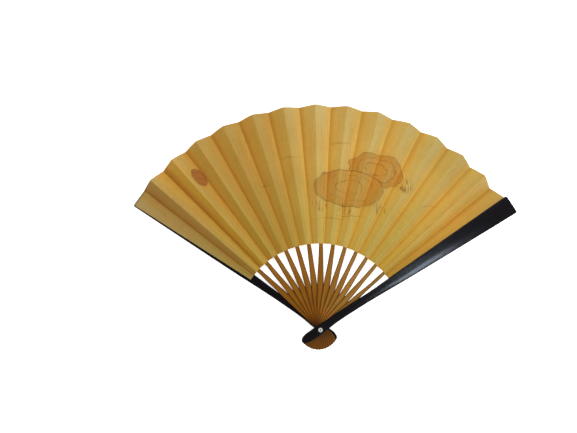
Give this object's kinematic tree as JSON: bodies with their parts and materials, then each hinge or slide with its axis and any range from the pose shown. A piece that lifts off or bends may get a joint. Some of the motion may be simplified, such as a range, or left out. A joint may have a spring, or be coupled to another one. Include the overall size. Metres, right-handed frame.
{
  "type": "folding hand fan",
  "caption": "Folding hand fan: thin bamboo ribs between two lacquered guards turn on one pin and spread a pleated paper leaf.",
  "frame": {"origin": "on the pivot axis, at the flat underside of the pin's rear head", "axes": "the open fan lies on its back: +Y from the pivot through the middle of the leaf, +Z along the pin up to the front guard, +X across the leaf to the right"},
  "size_m": [0.3526, 0.2253, 0.0208],
  "materials": {
    "black_lacquer": "wood under glossy black lacquer",
    "bamboo": "stained bamboo, satin, with fine grain along each rib",
    "gold_paper": "thin pasted paper with a gold wash, matt with a soft sheen",
    "pearl": "pearly washer, polished",
    "grey_horn": "grey horn-like plastic, polished"
  },
  "bodies": {
    "rear_guard": {"guard_rear": "black_lacquer", "leaf_panel_00": "gold_paper", "pivot_pin": "grey_horn", "pin_cap": "pearl"},
    "front_guard": {"guard_front": "black_lacquer", "leaf_panel_14": "gold_paper"},
    "rib_01_body": {"rib_01": "bamboo"},
    "vane_01_body": {"rib_blade_01": "bamboo", "leaf_panel_01": "gold_paper"},
    "rib_02_body": {"rib_02": "bamboo"},
    "vane_02_body": {"rib_blade_02": "bamboo", "leaf_panel_02": "gold_paper"},
    "rib_03_body": {"rib_03": "bamboo"},
    "vane_03_body": {"rib_blade_03": "bamboo", "leaf_panel_03": "gold_paper"},
    "rib_04_body": {"rib_04": "bamboo"},
    "vane_04_body": {"rib_blade_04": "bamboo", "leaf_panel_04": "gold_paper"},
    "rib_05_body": {"rib_05": "bamboo"},
    "vane_05_body": {"rib_blade_05": "bamboo", "leaf_panel_05": "gold_paper"},
    "rib_06_body": {"rib_06": "bamboo"},
    "vane_06_body": {"rib_blade_06": "bamboo", "leaf_panel_06": "gold_paper"},
    "rib_07_body": {"rib_07": "bamboo"},
    "vane_07_body": {"rib_blade_07": "bamboo", "leaf_panel_07": "gold_paper"},
    "rib_08_body": {"rib_08": "bamboo"},
    "vane_08_body": {"rib_blade_08": "bamboo", "leaf_panel_08": "gold_paper"},
    "rib_09_body": {"rib_09": "bamboo"},
    "vane_09_body": {"rib_blade_09": "bamboo", "leaf_panel_09": "gold_paper"},
    "rib_10_body": {"rib_10": "bamboo"},
    "vane_10_body": {"rib_blade_10": "bamboo", "leaf_panel_10": "gold_paper"},
    "rib_11_body": {"rib_11": "bamboo"},
    "vane_11_body": {"rib_blade_11": "bamboo", "leaf_panel_11": "gold_paper"},
    "rib_12_body": {"rib_12": "bamboo"},
    "vane_12_body": {"rib_blade_12": "bamboo", "leaf_panel_12": "gold_paper"},
    "rib_13_body": {"rib_13": "bamboo"},
    "vane_13_body": {"rib_blade_13": "bamboo", "leaf_panel_13": "gold_paper"},
    "fold_00_body": {"leaf_fold_00": "gold_paper"},
    "fold_01_body": {"leaf_fold_01": "gold_paper"},
    "fold_02_body": {"leaf_fold_02": "gold_paper"},
    "fold_03_body": {"leaf_fold_03": "gold_paper"},
    "fold_04_body": {"leaf_fold_04": "gold_paper"},
    "fold_05_body": {"leaf_fold_05": "gold_paper"},
    "fold_06_body": {"leaf_fold_06": "gold_paper"},
    "fold_07_body": {"leaf_fold_07": "gold_paper"},
    "fold_08_body": {"leaf_fold_08": "gold_paper"},
    "fold_09_body": {"leaf_fold_09": "gold_paper"},
    "fold_10_body": {"leaf_fold_10": "gold_paper"},
    "fold_11_body": {"leaf_fold_11": "gold_paper"},
    "fold_12_body": {"leaf_fold_12": "gold_paper"},
    "fold_13_body": {"leaf_fold_13": "gold_paper"}
  },
  "joints": [
    {"name": "fan_closing", "type": "hinge", "parent": "rear_guard", "child": "front_guard", "pos_m": [0, 0, 0.0172], "axis": [0, 0, 1], "range_deg": [0, 111.79]},
    {"name": "rib_01_turn", "type": "hinge", "parent": "rear_guard", "child": "rib_01_body", "pos_m": [0, 0, 0.0045], "axis": [0, 0, 1], "range_deg": [-0.5, 8.64]},
    {"name": "vane_01_twist", "type": "hinge", "parent": "rib_01_body", "child": "vane_01_body", "pos_m": [-0.03358, 0.02996, 0.0045], "axis": [0.7132, -0.7008, -0.0177], "range_deg": [-0.5, 41.45]},
    {"name": "rib_02_turn", "type": "hinge", "parent": "rear_guard", "child": "rib_02_body", "pos_m": [0, 0, 0.00545], "axis": [0, 0, 1], "range_deg": [-0.5, 16.21]},
    {"name": "vane_02_twist", "type": "hinge", "parent": "rib_02_body", "child": "vane_02_body", "pos_m": [-0.02934, 0.03412, 0.00545], "axis": [0.6184, -0.7857, -0.0147], "range_deg": [-0.5, 38.66]},
    {"name": "rib_03_turn", "type": "hinge", "parent": "rear_guard", "child": "rib_03_body", "pos_m": [0, 0, 0.0064], "axis": [0, 0, 1], "range_deg": [-0.5, 24.04]},
    {"name": "vane_03_twist", "type": "hinge", "parent": "rib_03_body", "child": "vane_03_body", "pos_m": [-0.02441, 0.0378, 0.0064], "axis": [0.511, -0.8595, -0.0118], "range_deg": [-0.5, 36.37]},
    {"name": "rib_04_turn", "type": "hinge", "parent": "rear_guard", "child": "rib_04_body", "pos_m": [0, 0, 0.00735], "axis": [0, 0, 1], "range_deg": [-0.5, 32.07]},
    {"name": "vane_04_twist", "type": "hinge", "parent": "rib_04_body", "child": "vane_04_body", "pos_m": [-0.01889, 0.04084, 0.00735], "axis": [0.393, -0.9195, -0.0088], "range_deg": [-0.5, 34.59]},
    {"name": "rib_05_turn", "type": "hinge", "parent": "rear_guard", "child": "rib_05_body", "pos_m": [0, 0, 0.0083], "axis": [0, 0, 1], "range_deg": [-0.5, 40.25]},
    {"name": "vane_05_twist", "type": "hinge", "parent": "rib_05_body", "child": "vane_05_body", "pos_m": [-0.01289, 0.04311, 0.0083], "axis": [0.2669, -0.9637, -0.0059], "range_deg": [-0.5, 33.32]},
    {"name": "rib_06_turn", "type": "hinge", "parent": "rear_guard", "child": "rib_06_body", "pos_m": [0, 0, 0.00925], "axis": [0, 0, 1], "range_deg": [-0.5, 48.51]},
    {"name": "vane_06_twist", "type": "hinge", "parent": "rib_06_body", "child": "vane_06_body", "pos_m": [-0.00656, 0.04452, 0.00925], "axis": [0.1354, -0.9908, -0.003], "range_deg": [-0.5, 32.55]},
    {"name": "rib_07_turn", "type": "hinge", "parent": "rear_guard", "child": "rib_07_body", "pos_m": [0, 0, 0.0102], "axis": [0, 0, 1], "range_deg": [-0.5, 56.82]},
    {"name": "vane_07_twist", "type": "hinge", "parent": "rib_07_body", "child": "vane_07_body", "pos_m": [-0.00006, 0.045, 0.0102], "axis": [0.0012, -1, 0], "range_deg": [-0.5, 32.3]},
    {"name": "rib_08_turn", "type": "hinge", "parent": "rear_guard", "child": "rib_08_body", "pos_m": [0, 0, 0.01115], "axis": [0, 0, 1], "range_deg": [-0.5, 65.13]},
    {"name": "vane_08_twist", "type": "hinge", "parent": "rib_08_body", "child": "vane_08_body", "pos_m": [0.00645, 0.04454, 0.01115], "axis": [-0.1329, -0.9911, 0.003], "range_deg": [-0.5, 32.55]},
    {"name": "rib_09_turn", "type": "hinge", "parent": "rear_guard", "child": "rib_09_body", "pos_m": [0, 0, 0.0121], "axis": [0, 0, 1], "range_deg": [-0.5, 73.4]},
    {"name": "vane_09_twist", "type": "hinge", "parent": "rib_09_body", "child": "vane_09_body", "pos_m": [0.01278, 0.04315, 0.0121], "axis": [-0.2645, -0.9644, 0.0059], "range_deg": [-0.5, 33.32]},
    {"name": "rib_10_turn", "type": "hinge", "parent": "rear_guard", "child": "rib_10_body", "pos_m": [0, 0, 0.01305], "axis": [0, 0, 1], "range_deg": [-0.5, 81.57]},
    {"name": "vane_10_twist", "type": "hinge", "parent": "rib_10_body", "child": "vane_10_body", "pos_m": [0.01879, 0.04089, 0.01305], "axis": [-0.3906, -0.9205, 0.0088], "range_deg": [-0.5, 34.59]},
    {"name": "rib_11_turn", "type": "hinge", "parent": "rear_guard", "child": "rib_11_body", "pos_m": [0, 0, 0.014], "axis": [0, 0, 1], "range_deg": [-0.5, 89.6]},
    {"name": "vane_11_twist", "type": "hinge", "parent": "rib_11_body", "child": "vane_11_body", "pos_m": [0.02431, 0.03787, 0.014], "axis": [-0.5088, -0.8608, 0.0118], "range_deg": [-0.5, 36.37]},
    {"name": "rib_12_turn", "type": "hinge", "parent": "rear_guard", "child": "rib_12_body", "pos_m": [0, 0, 0.01495], "axis": [0, 0, 1], "range_deg": [-0.5, 97.43]},
    {"name": "vane_12_twist", "type": "hinge", "parent": "rib_12_body", "child": "vane_12_body", "pos_m": [0.02925, 0.0342, 0.01495], "axis": [-0.6164, -0.7873, 0.0147], "range_deg": [-0.5, 38.66]},
    {"name": "rib_13_turn", "type": "hinge", "parent": "rear_guard", "child": "rib_13_body", "pos_m": [0, 0, 0.0159], "axis": [0, 0, 1], "range_deg": [-0.5, 105]},
    {"name": "vane_13_twist", "type": "hinge", "parent": "rib_13_body", "child": "vane_13_body", "pos_m": [0.0335, 0.03005, 0.0159], "axis": [-0.7113, -0.7026, 0.0177], "range_deg": [-0.5, 41.45]},
    {"name": "fold_00_bend", "type": "hinge", "parent": "rear_guard", "child": "fold_00_body", "pos_m": [-0.11383, 0.08422, 0.00363], "axis": [0.8035, -0.5953, -0.0007], "range_deg": [-0.5, 135.42], "deforming": ["leaf_fold_00"]},
    {"name": "fold_01_bend", "type": "hinge", "parent": "vane_01_body", "child": "fold_01_body", "pos_m": [-0.10243, 0.09781, 0.00435], "axis": [0.7251, -0.6887, -0.0057], "range_deg": [-0.5, 100.12], "deforming": ["leaf_fold_01"]},
    {"name": "fold_02_bend", "type": "hinge", "parent": "vane_02_body", "child": "fold_02_body", "pos_m": [-0.08851, 0.11055, 0.00496], "axis": [0.6269, -0.7791, -0.0014], "range_deg": [-0.5, 105.39], "deforming": ["leaf_fold_02"]},
    {"name": "fold_03_bend", "type": "hinge", "parent": "vane_03_body", "child": "fold_03_body", "pos_m": [-0.0725, 0.12164, 0.00553], "axis": [0.514, -0.8578, 0.0031], "range_deg": [-0.5, 109.67], "deforming": ["leaf_fold_03"]},
    {"name": "fold_04_bend", "type": "hinge", "parent": "vane_04_body", "child": "fold_04_body", "pos_m": [-0.0547, 0.13061, 0.00606], "axis": [0.3883, -0.9215, 0.008], "range_deg": [-0.5, 112.96], "deforming": ["leaf_fold_04"]},
    {"name": "fold_05_bend", "type": "hinge", "parent": "vane_05_body", "child": "fold_05_body", "pos_m": [-0.03551, 0.13707, 0.00655], "axis": [0.2528, -0.9674, 0.0131], "range_deg": [-0.5, 115.24], "deforming": ["leaf_fold_05"]},
    {"name": "fold_06_bend", "type": "hinge", "parent": "vane_06_body", "child": "fold_06_body", "pos_m": [-0.0154, 0.14074, 0.007], "axis": [0.1108, -0.9937, 0.0185], "range_deg": [-0.5, 116.52], "deforming": ["leaf_fold_06"]},
    {"name": "fold_07_bend", "type": "hinge", "parent": "vane_07_body", "child": "fold_07_body", "pos_m": [0.00512, 0.14147, 0.00741], "axis": [-0.0341, -0.9991, 0.0242], "range_deg": [-0.5, 116.81], "deforming": ["leaf_fold_07"]},
    {"name": "fold_08_bend", "type": "hinge", "parent": "vane_08_body", "child": "fold_08_body", "pos_m": [0.02549, 0.13922, 0.00777], "axis": [-0.178, -0.9836, 0.0303], "range_deg": [-0.5, 116.09], "deforming": ["leaf_fold_08"]},
    {"name": "fold_09_bend", "type": "hinge", "parent": "vane_09_body", "child": "fold_09_body", "pos_m": [0.0452, 0.1341, 0.00808], "axis": [-0.3172, -0.9477, 0.0366], "range_deg": [-0.5, 114.37], "deforming": ["leaf_fold_09"]},
    {"name": "fold_10_bend", "type": "hinge", "parent": "vane_10_body", "child": "fold_10_body", "pos_m": [0.06373, 0.12631, 0.00835], "axis": [-0.4481, -0.893, 0.0433], "range_deg": [-0.5, 111.65], "deforming": ["leaf_fold_10"]},
    {"name": "fold_11_bend", "type": "hinge", "parent": "vane_11_body", "child": "fold_11_body", "pos_m": [0.08065, 0.11619, 0.00858], "axis": [-0.5676, -0.8218, 0.0503], "range_deg": [-0.5, 107.93], "deforming": ["leaf_fold_11"]},
    {"name": "fold_12_bend", "type": "hinge", "parent": "vane_12_body", "child": "fold_12_body", "pos_m": [0.0956, 0.10417, 0.00877], "axis": [-0.6732, -0.7372, 0.0575], "range_deg": [-0.5, 103.22], "deforming": ["leaf_fold_12"]},
    {"name": "fold_13_bend", "type": "hinge", "parent": "vane_13_body", "child": "fold_13_body", "pos_m": [0.10827, 0.09089, 0.00892], "axis": [-0.7647, -0.6414, 0.0619], "range_deg": [-0.5, 96.63], "deforming": ["leaf_fold_13"]}
  ],
  "couplings": [
    {"joint": "rib_01_turn", "follows": "fan_closing", "ratio": 0.068327},
    {"joint": "vane_01_twist", "follows": "fan_closing", "ratio": 0.36183},
    {"joint": "rib_02_turn", "follows": "fan_closing", "ratio": 0.13605},
    {"joint": "vane_02_twist", "follows": "fan_closing", "ratio": 0.33685},
    {"joint": "rib_03_turn", "follows": "fan_closing", "ratio": 0.20612},
    {"joint": "vane_03_twist", "follows": "fan_closing", "ratio": 0.31639},
    {"joint": "rib_04_turn", "follows": "fan_closing", "ratio": 0.27797},
    {"joint": "vane_04_twist", "follows": "fan_closing", "ratio": 0.30047},
    {"joint": "rib_05_turn", "follows": "fan_closing", "ratio": 0.35109},
    {"joint": "vane_05_twist", "follows": "fan_closing", "ratio": 0.2891},
    {"joint": "rib_06_turn", "follows": "fan_closing", "ratio": 0.42502},
    {"joint": "vane_06_twist", "follows": "fan_closing", "ratio": 0.28227},
    {"joint": "rib_07_turn", "follows": "fan_closing", "ratio": 0.49936},
    {"joint": "vane_07_twist", "follows": "fan_closing", "ratio": 0.27999},
    {"joint": "rib_08_turn", "follows": "fan_closing", "ratio": 0.5737},
    {"joint": "vane_08_twist", "follows": "fan_closing", "ratio": 0.28227},
    {"joint": "rib_09_turn", "follows": "fan_closing", "ratio": 0.64762},
    {"joint": "vane_09_twist", "follows": "fan_closing", "ratio": 0.2891},
    {"joint": "rib_10_turn", "follows": "fan_closing", "ratio": 0.72073},
    {"joint": "vane_10_twist", "follows": "fan_closing", "ratio": 0.30047},
    {"joint": "rib_11_turn", "follows": "fan_closing", "ratio": 0.79256},
    {"joint": "vane_11_twist", "follows": "fan_closing", "ratio": 0.31639},
    {"joint": "rib_12_turn", "follows": "fan_closing", "ratio": 0.86262},
    {"joint": "vane_12_twist", "follows": "fan_closing", "ratio": 0.33685},
    {"joint": "rib_13_turn", "follows": "fan_closing", "ratio": 0.93033},
    {"joint": "vane_13_twist", "follows": "fan_closing", "ratio": 0.36183},
    {"joint": "fold_00_bend", "follows": "fan_closing", "ratio": 1.2024},
    {"joint": "fold_01_bend", "follows": "fan_closing", "ratio": 0.88662},
    {"joint": "fold_02_bend", "follows": "fan_closing", "ratio": 0.93383},
    {"joint": "fold_03_bend", "follows": "fan_closing", "ratio": 0.97212},
    {"joint": "fold_04_bend", "follows": "fan_closing", "ratio": 1.0015},
    {"joint": "fold_05_bend", "follows": "fan_closing", "ratio": 1.0219},
    {"joint": "fold_06_bend", "follows": "fan_closing", "ratio": 1.0334},
    {"joint": "fold_07_bend", "follows": "fan_closing", "ratio": 1.0359},
    {"joint": "fold_08_bend", "follows": "fan_closing", "ratio": 1.0295},
    {"joint": "fold_09_bend", "follows": "fan_closing", "ratio": 1.0141},
    {"joint": "fold_10_bend", "follows": "fan_closing", "ratio": 0.98982},
    {"joint": "fold_11_bend", "follows": "fan_closing", "ratio": 0.95656},
    {"joint": "fold_12_bend", "follows": "fan_closing", "ratio": 0.91438},
    {"joint": "fold_13_bend", "follows": "fan_closing", "ratio": 0.85544}
  ]
}
